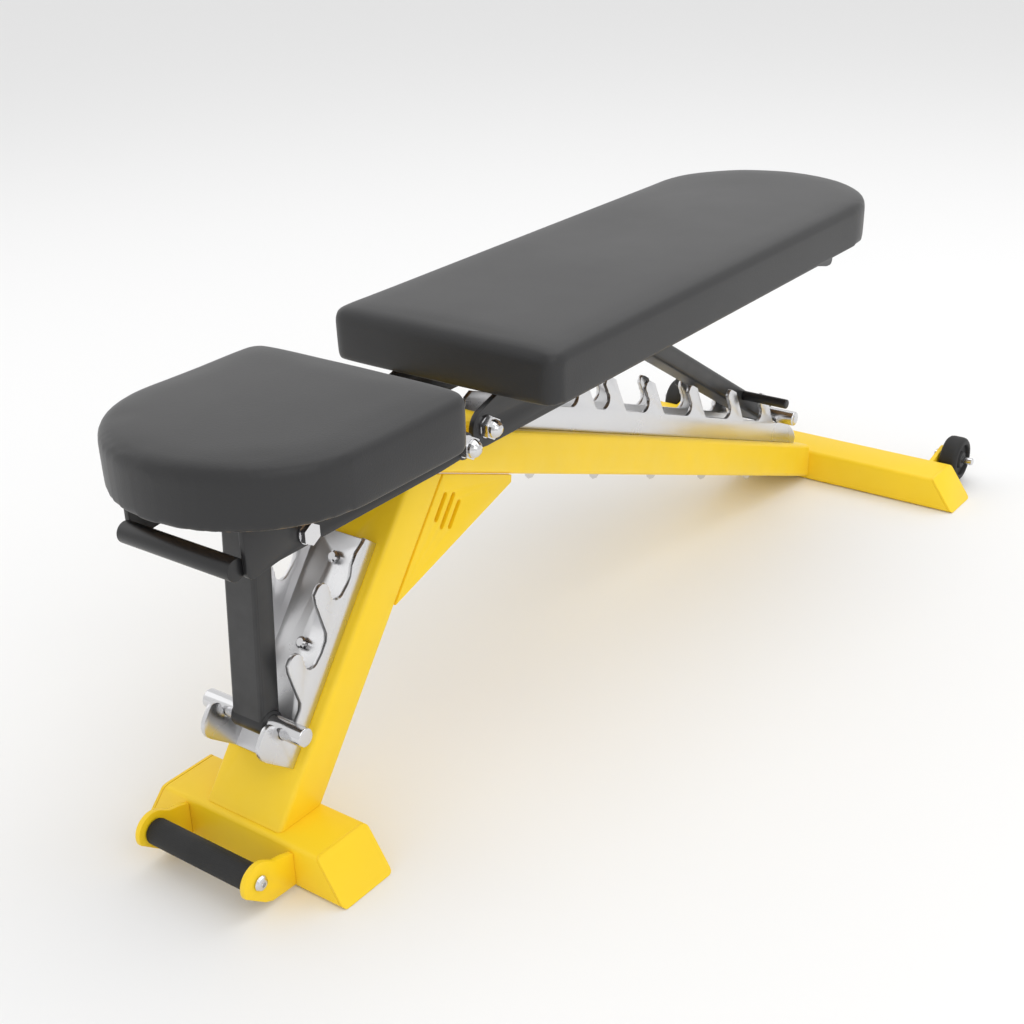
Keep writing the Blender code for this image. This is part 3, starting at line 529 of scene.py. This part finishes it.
def grained_vinyl():
    """Black cover vinyl with a pebbled grain."""
    found = bpy.data.materials.get("grained_vinyl")
    if found:
        return found
    colour = bpy.context.scene.bench_finish.vinyl
    made, tree, shader = new_material("grained_vinyl")
    drift = place_group(
        tree,
        drift_group(),
        Colour=(*colour, 1.0),
        Darkest=0.8,
        Scale=5.0,
        Low_Roughness=0.42,
        High_Roughness=0.52,
    )
    place = tree.nodes.new("ShaderNodeTexCoord")
    pebbles = tree.nodes.new("ShaderNodeTexVoronoi")
    pebbles.feature = "SMOOTH_F1"
    pebbles.inputs["Scale"].default_value = 620.0
    pebbles.inputs["Smoothness"].default_value = 0.6
    fine = tree.nodes.new("ShaderNodeTexNoise")
    fine.inputs["Scale"].default_value = 1100.0
    fine.inputs["Detail"].default_value = 2.0
    height = tree.nodes.new("ShaderNodeMath")
    height.operation = "ADD"
    bump = tree.nodes.new("ShaderNodeBump")
    bump.inputs["Strength"].default_value = 0.35
    bump.inputs["Distance"].default_value = 0.00025
    tree.links.new(place.outputs["Object"], pebbles.inputs["Vector"])
    tree.links.new(place.outputs["Object"], fine.inputs["Vector"])
    tree.links.new(pebbles.outputs["Distance"], height.inputs[0])
    tree.links.new(fine.outputs["Fac"], height.inputs[1])
    tree.links.new(height.outputs["Value"], bump.inputs["Height"])
    tree.links.new(drift.outputs["Colour"], shader.inputs["Base Color"])
    tree.links.new(drift.outputs["Roughness"], shader.inputs["Roughness"])
    tree.links.new(bump.outputs["Normal"], shader.inputs["Normal"])
    shader.inputs["Sheen Weight"].default_value = 0.12
    shader.inputs["Sheen Roughness"].default_value = 0.4
    shader.inputs["Specular IOR Level"].default_value = 0.45
    return made


def moulded_rubber():
    found = bpy.data.materials.get("moulded_rubber")
    if found:
        return found
    colour = bpy.context.scene.bench_finish.rubber
    made, tree, shader = new_material("moulded_rubber")
    drift = place_group(
        tree,
        drift_group(),
        Colour=(*colour, 1.0),
        Darkest=0.75,
        Scale=20.0,
        Low_Roughness=0.55,
        High_Roughness=0.72,
    )
    bumps = place_group(tree, grain_group(), Scale=1500.0, Depth=0.0001, Strength=0.5)
    tree.links.new(drift.outputs["Colour"], shader.inputs["Base Color"])
    tree.links.new(drift.outputs["Roughness"], shader.inputs["Roughness"])
    tree.links.new(bumps.outputs["Normal"], shader.inputs["Normal"])
    return made


def raw_plywood():
    found = bpy.data.materials.get("raw_plywood")
    if found:
        return found
    colour = bpy.context.scene.bench_finish.plywood
    made, tree, shader = new_material("raw_plywood")
    place = tree.nodes.new("ShaderNodeTexCoord")
    stretch = tree.nodes.new("ShaderNodeMapping")
    stretch.inputs["Scale"].default_value = (9.0, 0.8, 60.0)
    rings = tree.nodes.new("ShaderNodeTexWave")
    rings.inputs["Scale"].default_value = 3.0
    rings.inputs["Distortion"].default_value = 9.0
    rings.inputs["Detail"].default_value = 4.0
    wood = tree.nodes.new("ShaderNodeMix")
    wood.data_type = "RGBA"
    wood.inputs["A"].default_value = (*colour, 1.0)
    wood.inputs["B"].default_value = (*[0.6 * part for part in colour], 1.0)
    bumps = place_group(tree, grain_group(), Scale=300.0, Depth=0.0003, Strength=0.4)
    shader.inputs["Roughness"].default_value = 0.7
    tree.links.new(place.outputs["Object"], stretch.inputs["Vector"])
    tree.links.new(stretch.outputs["Vector"], rings.inputs["Vector"])
    tree.links.new(rings.outputs["Fac"], wood.inputs["Factor"])
    tree.links.new(wood.outputs["Result"], shader.inputs["Base Color"])
    tree.links.new(bumps.outputs["Normal"], shader.inputs["Normal"])
    return made


# Mesh helpers


def as_object(name, mesh):
    """Puts a bmesh in the scene as an object."""
    data = bpy.data.meshes.new(name)
    mesh.to_mesh(data)
    mesh.free()
    made = bpy.data.objects.new(name, data)
    bpy.context.scene.collection.objects.link(made)
    return made


def finish_piece(name, mesh, coat, body, nodes):
    """Turns a mesh into a piece that rides on its body and stands for its nodes."""
    piece = as_object(name, mesh)
    for face in piece.data.polygons:
        face.use_smooth = True
    piece.data.set_sharp_from_angle(angle=SHARP)
    piece.data.materials.append(coat)
    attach(piece, body)
    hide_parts(*nodes)
    return piece


def repaint(node, coat):
    """Gives a node that is kept its finish."""
    obj = NODES[node]
    obj.data.materials.clear()
    obj.data.materials.append(coat)


def softened(node, coat, width):
    """A copy of a node with its edges rounded."""
    mesh = bmesh.new()
    mesh.from_mesh(NODES[node].data)
    bmesh.ops.remove_doubles(mesh, verts=mesh.verts, dist=0.00002)
    bmesh.ops.dissolve_limit(
        mesh, angle_limit=math.radians(0.6), verts=mesh.verts, edges=mesh.edges
    )
    sharp = [
        edge
        for edge in mesh.edges
        if len(edge.link_faces) == 2 and edge.calc_face_angle(0.0) > BEVELLED
    ]
    bmesh.ops.bevel(
        mesh,
        geom=sharp,
        offset=width,
        offset_type="OFFSET",
        affect="EDGES",
        segments=2,
        profile=0.5,
        clamp_overlap=False,
        material=-1,
    )
    bmesh.ops.recalc_face_normals(mesh, faces=mesh.faces)
    return finish_piece(f"{node}_piece", mesh, coat, BODY_OF[node], (node,))


def turned(name, profile, centre, coat, body, nodes, steps=56, knurl=None):
    """A piece turned about a line along X through centre, from (position, radius) points."""
    mesh = bmesh.new()
    points = [mesh.verts.new((x, centre.y, centre.z + radius)) for x, radius in profile]
    loop = [mesh.edges.new(pair) for pair in zip(points, points[1:])]
    closed = profile[0][1] > 0.0 and profile[-1][1] > 0.0
    if closed:
        loop.append(mesh.edges.new((points[-1], points[0])))
    bmesh.ops.spin(
        mesh,
        geom=points + loop,
        cent=centre,
        axis=(1.0, 0.0, 0.0),
        dvec=(0.0, 0.0, 0.0),
        angle=2.0 * math.pi,
        steps=steps,
        use_merge=True,
        use_duplicate=False,
    )
    bmesh.ops.remove_doubles(mesh, verts=mesh.verts, dist=0.000001)
    if knurl:
        knurl(mesh)
    bmesh.ops.recalc_face_normals(mesh, faces=mesh.faces)
    return finish_piece(name, mesh, coat, body, nodes)


def middle(node):
    low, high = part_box(node)
    return (low + high) / 2


def bar_profile(low, high, radius, edge):
    """The (position, radius) points of a solid bar with rounded ends."""
    points = [(low, 0.0), (low, radius - edge)]
    for step in range(1, 5):
        angle = math.radians(22.5 * step)
        points.append((low + edge * (1 - math.cos(angle)), radius - edge * (1 - math.sin(angle))))
    return points + [(low + high - x, r) for x, r in reversed(points)]


def sleeve_profile(low, high, outer, inner, edge):
    """The (position, radius) points of a bush with rounded outer edges."""
    points = [(low, inner), (low, outer - edge)]
    for step in range(1, 4):
        angle = math.radians(30 * step)
        points.append((low + edge * (1 - math.cos(angle)), outer - edge * (1 - math.sin(angle))))
    return points + [(low + high - x, r) for x, r in reversed(points)]


# Cushions


def rounded_corner(corner, radius, first, last, count=6):
    """Points of a quarter circle in plan."""
    return [
        (
            corner[0] + radius * math.cos(math.radians(first + (last - first) * i / count)),
            corner[1] + radius * math.sin(math.radians(first + (last - first) * i / count)),
        )
        for i in range(count + 1)
    ]


def cushion_plan(low, high, corner, nose, inset, nose_at_low):
    """A cushion's outline seen from above: one end square, the other round."""
    half = (high.x - low.x) / 2 - inset
    sign = 1.0 if nose_at_low else -1.0
    square = high.y - inset if nose_at_low else low.y + inset
    tip = low.y + inset if nose_at_low else high.y - inset
    middle_y = tip + sign * (nose - inset)
    points = [
        (half * math.cos(math.radians(a)), middle_y - sign * (nose - inset) * math.sin(math.radians(a)))
        for a in range(0, 181, 6)
    ]
    radius = max(corner - inset, 0.002)
    for side, first in ((-1.0, 180.0), (1.0, 90.0)):
        centre = (side * (half - radius), square - sign * radius)
        quarter = rounded_corner(centre, radius, first * sign, (first - 90.0) * sign)
        points += quarter
    return points


def raised_outline(outline, bottom, top):
    """The outline's face at the bottom, extruded up to the top."""
    mesh = bmesh.new()
    base = mesh.faces.new([mesh.verts.new((x, y, bottom)) for x, y in outline])
    made = bmesh.ops.extrude_face_region(mesh, geom=[base])
    raised = [item for item in made["geom"] if isinstance(item, bmesh.types.BMVert)]
    bmesh.ops.translate(mesh, vec=(0.0, 0.0, top - bottom), verts=raised)
    return mesh


def cushion_mesh(outline, bottom, top, edge):
    """The cushion as cut, before the foam pushes its cover out."""
    mesh = raised_outline(outline, bottom, top)
    rim = [
        edge_
        for edge_ in mesh.edges
        if all(abs(vert.co.z - top) < 1e-6 for vert in edge_.verts) and len(edge_.link_faces) == 2
    ]
    bmesh.ops.bevel(
        mesh,
        geom=rim,
        offset=edge,
        offset_type="OFFSET",
        affect="EDGES",
        segments=6,
        profile=0.5,
        clamp_overlap=False,
        material=-1,
    )
    bmesh.ops.recalc_face_normals(mesh, faces=mesh.faces)
    return mesh


def apply_modifiers(obj):
    """Replaces an object's mesh by what its modifiers make."""
    graph = bpy.context.evaluated_depsgraph_get()
    made = bpy.data.meshes.new_from_object(obj.evaluated_get(graph))
    obj.modifiers.clear()
    obj.data = made


def swell(obj, floor, settings):
    """Foam pressure on the cover, held along its stapled underside."""
    start = [vert.co.copy() for vert in obj.data.vertices]
    held = obj.vertex_groups.new(name="stapled")
    held.add([i for i, co in enumerate(start) if co.z < floor + HELD_HEIGHT], 1.0, "REPLACE")
    cloth = obj.modifiers.new("cover", "CLOTH")
    cloth.settings.quality = 4
    cloth.settings.mass = 0.4
    cloth.settings.tension_stiffness = 25.0
    cloth.settings.compression_stiffness = 25.0
    cloth.settings.bending_stiffness = 4.0
    cloth.settings.use_pressure = True
    cloth.settings.uniform_pressure_force = settings.pressure
    cloth.settings.vertex_group_mass = "stapled"
    cloth.settings.effector_weights.gravity = 0.0
    cloth.collision_settings.use_collision = False
    cloth.point_cache.frame_start = 1
    cloth.point_cache.frame_end = CLOTH_STEPS
    scene = bpy.context.scene
    for step in range(1, CLOTH_STEPS + 1):
        scene.frame_set(step)
    apply_modifiers(obj)
    scene.frame_set(1)
    obj.vertex_groups.clear()
    mesh = bmesh.new()
    mesh.from_mesh(obj.data)
    mesh.verts.ensure_lookup_table()
    moved = [vert.co - was for vert, was in zip(mesh.verts, start)]
    for vert, was in zip(mesh.verts, start):
        vert.co = was
    mesh.normal_update()
    ways = [vert.normal.copy() for vert in mesh.verts]
    pushed = [min(max(move.dot(way), 0.0), settings.swell) for move, way in zip(moved, ways)]
    for _ in range(EVENING):
        pushed = [
            (push + sum(pushed[edge.other_vert(vert).index] for edge in vert.link_edges))
            / (1 + len(vert.link_edges))
            for vert, push in zip(mesh.verts, pushed)
        ]
    for vert, way, push in zip(mesh.verts, ways, pushed):
        vert.co += way * push
    mesh.to_mesh(obj.data)
    mesh.free()


def crown(obj, low, high, floor, top):
    """Lifts the middle of the top a little and draws the sides in towards the base."""
    centre = (low + high) / 2
    half = (high - low) / 2
    for vert in obj.data.vertices:
        across = min(abs(vert.co.x - centre.x) / half.x, 1.0)
        share = min(max((vert.co.z - floor) / (top - floor), 0.0), 1.0)
        if share > 0.7:
            vert.co.z += CROWN_RISE * (1.0 - across**2) * (share - 0.7) / 0.3
        pull = SIDE_PULL * (1.0 - share) ** 2
        vert.co.x -= math.copysign(pull, vert.co.x) * min(across * 2.0, 1.0)


def make_cushion(which, nose, nose_at_low):
    """One cushion, in the room its node holds and with its board's recess."""
    settings = bpy.context.scene.bench_cushion
    node = f"{which}_cushion"
    low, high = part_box(node)
    inset = settings.inset
    outline = cushion_plan(low, high, settings.corner, nose, inset, nose_at_low)
    bottom, top = low.z + UNDERSIDE_GAP, high.z - inset
    mesh = cushion_mesh(outline, bottom, top, settings.edge)
    piece = as_object(f"{which}_pad", mesh)
    remesh = piece.modifiers.new("even", "REMESH")
    remesh.mode = "VOXEL"
    remesh.voxel_size = settings.voxel
    remesh.adaptivity = 0.0
    bpy.context.view_layer.update()
    apply_modifiers(piece)
    swell(piece, bottom, settings)
    crown(piece, low, high, bottom, top)
    board_low, board_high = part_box(f"{which}_board")
    nose_room = nose - BOARD_INSET
    corner = settings.corner * 0.5
    room = cushion_plan(board_low, board_high, corner, nose_room, -BOARD_ROOM, nose_at_low)
    recess = raised_outline(room, bottom - BELOW_PAD, board_high.z + BOARD_ROOM)
    bmesh.ops.recalc_face_normals(recess, faces=recess.faces)
    cutter = as_object("board_room", recess)
    finer = piece.modifiers.new("finer", "SUBSURF")
    finer.levels = 1
    finer.render_levels = 1
    cut = piece.modifiers.new("board_room", "BOOLEAN")
    cut.operation = "DIFFERENCE"
    cut.solver = "EXACT"
    cut.object = cutter
    bpy.context.view_layer.update()
    apply_modifiers(piece)
    bpy.data.objects.remove(cutter)
    for face in piece.data.polygons:
        face.use_smooth = True
    piece.data.set_sharp_from_angle(angle=PAD_SHARP)
    piece.data.materials.clear()
    piece.data.materials.append(grained_vinyl())
    body = BODY_OF[node]
    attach(piece, body)
    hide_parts(node)
    return piece


# Operators


class BENCH_OT_cushions(bpy.types.Operator):
    """Builds the seat and back cushions and finishes their boards"""

    bl_idname = "bench.cushions"
    bl_label = "Cushions"

    def execute(self, context):
        make_cushion("seat", SEAT_NOSE, True)
        make_cushion("back", BACK_NOSE, False)
        for node in ("seat_board", "back_board"):
            repaint(node, raw_plywood())
        return {"FINISHED"}


class BENCH_OT_yellow_frame(bpy.types.Operator):
    """Rounds and coats the welded yellow steel work"""

    bl_idname = "bench.yellow_frame"
    bl_label = "Yellow frame"

    def execute(self, context):
        coat = yellow_coat()
        width = context.scene.bench_part.plate_edge
        for node in YELLOW_NODES:
            softened(node, coat, width)
        repaint("spine", coat)
        return {"FINISHED"}


class BENCH_OT_black_steel(bpy.types.Operator):
    """Rounds and coats the black side plates and struts"""

    bl_idname = "bench.black_steel"
    bl_label = "Black steel work"

    def execute(self, context):
        coat = black_coat()
        width = context.scene.bench_part.plate_edge
        for node in BLACK_NODES:
            softened(node, coat, width)
        for node in KEPT_BLACK:
            repaint(node, coat)
        return {"FINISHED"}


class BENCH_OT_ladders(bpy.types.Operator):
    """Rounds and polishes the two notched ladders"""

    bl_idname = "bench.ladders"
    bl_label = "Ladders"

    def execute(self, context):
        width = context.scene.bench_part.plate_edge
        for node in LADDERS:
            softened(node, stainless("satin_stainless", 0.24, 0.34, 1.0), width)
        return {"FINISHED"}


class BENCH_OT_fixings(bpy.types.Operator):
    """Polishes the bolts, nuts, screws and axles"""

    bl_idname = "bench.fixings"
    bl_label = "Fixings"

    def execute(self, context):
        coat = stainless("polished_fixings", 0.12, 0.22, 0.4)
        for node in KEPT_STEEL + ["wheel_axle_left", "wheel_axle_right", "roller_core"]:
            repaint(node, coat)
        return {"FINISHED"}


class BENCH_OT_pins_and_bars(bpy.types.Operator):
    """Turns the latch pins, bars and collars, and coats the sleeves"""

    bl_idname = "bench.pins_and_bars"
    bl_label = "Pins and bars"

    def execute(self, context):
        steel = stainless("polished_fixings", 0.12, 0.22, 0.4)
        black = black_coat()
        for node in ("seat_latch_pin", "back_latch_pin"):
            low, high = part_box(node)
            radius = (high.z - low.z) / 2
            profile = bar_profile(low.x, high.x, radius, 0.0022)
            turned(f"{node}_piece", profile, middle(node), steel, BODY_OF[node], (node,))
        for node, edge in (("seat_grab_bar", 0.0005), ("back_strut_handle", 0.0018)):
            low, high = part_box(node)
            radius = (high.z - low.z) / 2
            profile = bar_profile(low.x, high.x, radius, edge)
            turned(f"{node}_piece", profile, middle(node), black, BODY_OF[node], (node,))
        for node in ("seat_strut_collar", "back_strut_collar"):
            low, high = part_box(node)
            pin_low, pin_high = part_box(node.replace("strut_collar", "latch_pin"))
            outer, inner = (high.z - low.z) / 2, (pin_high.z - pin_low.z) / 2 + 0.0003
            profile = sleeve_profile(low.x, high.x, outer, inner, 0.0015)
            turned(f"{node}_piece", profile, middle(node), black, BODY_OF[node], (node,))
        for node in ("seat_strut_sleeve", "back_strut_sleeve"):
            repaint(node, black)
        for node in ("seat_pivot_sleeve", "back_pivot_sleeve"):
            repaint(node, yellow_coat())
        return {"FINISHED"}


class BENCH_OT_wheels(bpy.types.Operator):
    """Turns the two transport wheels"""

    bl_idname = "bench.wheels"
    bl_label = "Wheels"

    def execute(self, context):
        for side, sign in (("left", -1.0), ("right", 1.0)):
            node = f"wheel_{side}"
            low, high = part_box(node)
            radius = (high.z - low.z) / 2
            inner, outer = sorted((abs(low.x), abs(high.x)))
            bore = (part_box(f"wheel_axle_{side}")[1].z - middle(node).z) * 0.62
            profile = [
                (inner, bore),
                (inner, radius - 0.0065),
                (inner + 0.0010, radius - 0.0030),
                (inner + 0.0035, radius - 0.0007),
                (inner + 0.0070, radius),
                (outer - 0.0070, radius),
                (outer - 0.0035, radius - 0.0007),
                (outer - 0.0010, radius - 0.0030),
                (outer, radius - 0.0065),
                (outer, radius - 0.0085),
                (outer - 0.0008, radius - 0.0095),
                (outer - 0.0048, radius - 0.0105),
                (outer - 0.0052, 0.0125),
                (outer - 0.0015, 0.0112),
                (outer - 0.0008, 0.0104),
                (outer - 0.0008, bore),
            ]
            profile = [(sign * x, r) for x, r in profile]
            turned(
                f"{node}_piece", profile, middle(node), moulded_rubber(), BODY_OF[node], (node,), 72
            )
        return {"FINISHED"}


class BENCH_OT_roller(bpy.types.Operator):
    """Turns the knurled grip of the front roller"""

    bl_idname = "bench.roller"
    bl_label = "Roller grip"

    def execute(self, context):
        settings = context.scene.bench_part
        node = "roller_grip"
        low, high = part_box(node)
        centre = middle(node)
        radius = (high.z - low.z) / 2
        inner = (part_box("roller_core")[1].z - centre.z) + 0.0002
        edge = 0.0015
        profile = [(low.x, inner), (low.x, radius - edge), (low.x + edge * 0.4, radius - edge * 0.4)]
        count = 150
        start, end = low.x + edge, high.x - edge
        profile += [(start + (end - start) * i / count, radius) for i in range(count + 1)]
        profile += [(high.x - edge * 0.4, radius - edge * 0.4), (high.x, radius - edge), (high.x, inner)]
        rows, depth = settings.knurl_rows, settings.knurl_depth

        def knurl(mesh):
            pitch = 2.0 * math.pi * radius / rows
            for vert in mesh.verts:
                y, z = vert.co.y - centre.y, vert.co.z - centre.z
                reach = math.hypot(y, z)
                if reach < radius - 0.0002 or not start < vert.co.x < end:
                    continue
                around = rows * math.atan2(z, y)
                along = 2.0 * math.pi * vert.co.x / pitch
                ridge = 0.5 + 0.5 * math.cos(around + along) * math.cos(around - along)
                shrink = 1.0 - depth * (1.0 - ridge) / reach
                vert.co.y = centre.y + y * shrink
                vert.co.z = centre.z + z * shrink

        turned(
            "roller_grip_piece",
            profile,
            centre,
            moulded_rubber(),
            BODY_OF[node],
            (node,),
            132,
            knurl,
        )
        return {"FINISHED"}


class BENCH_OT_stage(bpy.types.Operator):
    """Sets the floor, the light and the camera"""

    bl_idname = "bench.stage"
    bl_label = "Stage"

    def execute(self, context):
        scene = context.scene
        settings = scene.bench_stage
        mesh = bmesh.new()
        bmesh.ops.create_grid(mesh, x_segments=1, y_segments=1, size=30.0)
        bmesh.ops.translate(mesh, vec=(0.0, 0.0, -0.0005), verts=mesh.verts)
        floor = as_object("floor", mesh)
        made, tree, shader = new_material("pale_floor")
        shader.inputs["Base Color"].default_value = (*settings.floor, 1.0)
        shader.inputs["Roughness"].default_value = 0.9
        shader.inputs["Specular IOR Level"].default_value = 0.1
        floor.data.materials.append(made)
        world = bpy.data.worlds.new("soft_studio")
        world.use_nodes = True
        world.node_tree.nodes["Background"].inputs["Color"].default_value = (1.0, 1.0, 1.0, 1.0)
        world.node_tree.nodes["Background"].inputs["Strength"].default_value = 0.88
        scene.world = world
        for name, place, size, power in (
            ("overhead", (0.4, 0.9, 3.0), 3.2, 34.0),
            ("side_key", (2.6, -1.4, 2.2), 2.0, 16.0),
            ("far_fill", (-2.6, -0.8, 1.6), 2.0, 6.0),
        ):
            lamp = bpy.data.lights.new(name, "AREA")
            lamp.energy = power
            lamp.size = size
            light = bpy.data.objects.new(name, lamp)
            aim = Vector((0.0, 0.0, 0.25)) - Vector(place)
            light.matrix_world = Matrix.Translation(place) @ aim.to_track_quat("-Z", "Y").to_matrix().to_4x4()
            scene.collection.objects.link(light)
        a, e, r = settings.turn, settings.height_angle, settings.roll
        right = Vector((math.cos(a), math.sin(a), 0.0))
        back = Vector((math.sin(a) * math.cos(e), -math.cos(a) * math.cos(e), math.sin(e)))
        up = back.cross(right)
        rolled = right * math.cos(r) + up * math.sin(r)
        upward = back.cross(rolled)
        camera = bpy.data.objects.new("camera", bpy.data.cameras.new("camera"))
        camera.data.sensor_width = 36.0
        camera.data.lens = settings.lens
        camera.data.clip_start = 0.05
        turn = Matrix((rolled, upward, back)).transposed().to_4x4()
        camera.matrix_world = Matrix.Translation(Vector(settings.position)) @ turn
        scene.collection.objects.link(camera)
        scene.camera = camera
        scene.view_settings.view_transform = "Standard"
        return {"FINISHED"}


OPERATORS = (
    BENCH_OT_cushions,
    BENCH_OT_yellow_frame,
    BENCH_OT_black_steel,
    BENCH_OT_ladders,
    BENCH_OT_fixings,
    BENCH_OT_pins_and_bars,
    BENCH_OT_wheels,
    BENCH_OT_roller,
    BENCH_OT_stage,
)


class BENCH_PT_sidebar(bpy.types.Panel):
    """Lists the bench's operators and settings"""

    bl_idname = "BENCH_PT_sidebar"
    bl_label = "Weight Bench"
    bl_space_type = "VIEW_3D"
    bl_region_type = "UI"
    bl_category = "Weight Bench"

    def draw(self, context):
        for operator in OPERATORS:
            self.layout.operator(operator.bl_idname)
        for group in ("bench_finish", "bench_cushion", "bench_part", "bench_stage"):
            settings = getattr(context.scene, group)
            box = self.layout.box()
            for name in settings.bl_rna.properties.keys():
                if name not in ("rna_type", "name"):
                    box.prop(settings, name)


GROUPS = (
    ("bench_finish", BenchFinishSettings),
    ("bench_cushion", BenchCushionSettings),
    ("bench_part", BenchPartSettings),
    ("bench_stage", BenchStageSettings),
)


def register():
    for name, group in GROUPS:
        bpy.utils.register_class(group)
        setattr(bpy.types.Scene, name, PointerProperty(type=group))
    for operator in OPERATORS:
        bpy.utils.register_class(operator)
    bpy.utils.register_class(BENCH_PT_sidebar)


def unregister():
    bpy.utils.unregister_class(BENCH_PT_sidebar)
    for operator in reversed(OPERATORS):
        bpy.utils.unregister_class(operator)
    for name, group in reversed(GROUPS):
        delattr(bpy.types.Scene, name)
        bpy.utils.unregister_class(group)


def main():
    """Builds every piece."""
    register()
    for operator in OPERATORS:
        family, name = operator.bl_idname.split(".")
        getattr(getattr(bpy.ops, family), name)()


if __name__ == "__main__":
    main()
